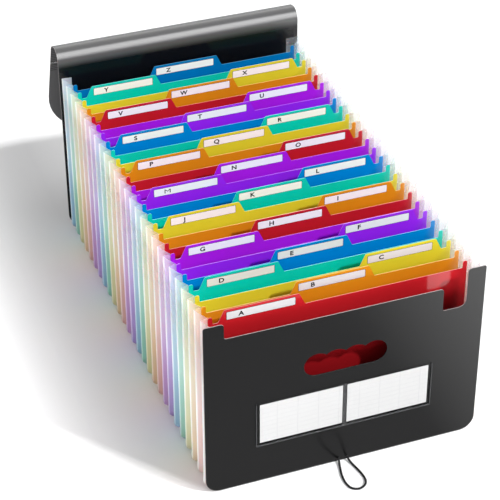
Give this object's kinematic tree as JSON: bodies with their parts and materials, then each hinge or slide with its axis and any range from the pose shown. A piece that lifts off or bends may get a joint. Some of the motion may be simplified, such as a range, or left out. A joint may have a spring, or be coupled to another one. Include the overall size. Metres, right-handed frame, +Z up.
{
  "type": "expanding file folder",
  "caption": "Open accordion file folder with black covers, coloured tabbed dividers, pleated film sides, a handle cut-out, card holder, back flap and elastic loop.",
  "frame": {"origin": "middle of the front cover's lower edge, halfway through the sheet", "axes": "+Y from the front cover to the back cover, +Z up, +X to the right seen from the front"},
  "size_m": [0.33, 0.721, 0.2666],
  "materials": {
    "cover_black": "satin",
    "sheet_red": "satin",
    "sheet_orange": "satin",
    "sheet_yellow": "satin",
    "sheet_teal": "satin",
    "sheet_blue": "satin",
    "sheet_violet": "satin",
    "sheet_magenta": "satin",
    "film": "satin",
    "holder_clear": "gloss",
    "card_paper": "matte",
    "cord_black": "matte",
    "button_black": "satin",
    "barb_steel": "satin"
  },
  "bodies": {
    "folder": {"front_cover": "cover_black", "back_cover": "cover_black", "divider_A": "sheet_red", "divider_B": "sheet_orange", "divider_C": "sheet_yellow", "divider_D": "sheet_teal", "divider_E": "sheet_blue", "divider_F": "sheet_violet", "divider_G": "sheet_magenta", "divider_H": "sheet_red", "divider_I": "sheet_orange", "divider_J": "sheet_yellow", "divider_K": "sheet_teal", "divider_L": "sheet_blue", "divider_M": "sheet_violet", "divider_N": "sheet_magenta", "divider_O": "sheet_red", "divider_P": "sheet_orange", "divider_Q": "sheet_yellow", "divider_R": "sheet_teal", "divider_S": "sheet_blue", "divider_T": "sheet_violet", "divider_U": "sheet_magenta", "divider_V": "sheet_red", "divider_W": "sheet_orange", "divider_X": "sheet_yellow", "divider_Y": "sheet_teal", "divider_Z": "sheet_blue", "left_gusset": "film", "left_corner_gusset": "film", "bottom_gusset": "film", "right_corner_gusset": "film", "right_gusset": "film", "card_holder": "holder_clear", "card_left": "card_paper", "card_right": "card_paper", "elastic_loop": "cord_black", "elastic_barb_left": "barb_steel", "elastic_barb_right": "barb_steel"},
    "flap": {"flap": "cover_black", "flap_button": "button_black", "button_rivet": "button_black"}
  },
  "joints": [
    {"name": "flap_hinge", "type": "hinge", "parent": "folder", "child": "flap", "pos_m": [0, 0.6118, 0.22883], "axis": [1, 0, 0], "range_deg": [-15, 150]}
  ]
}
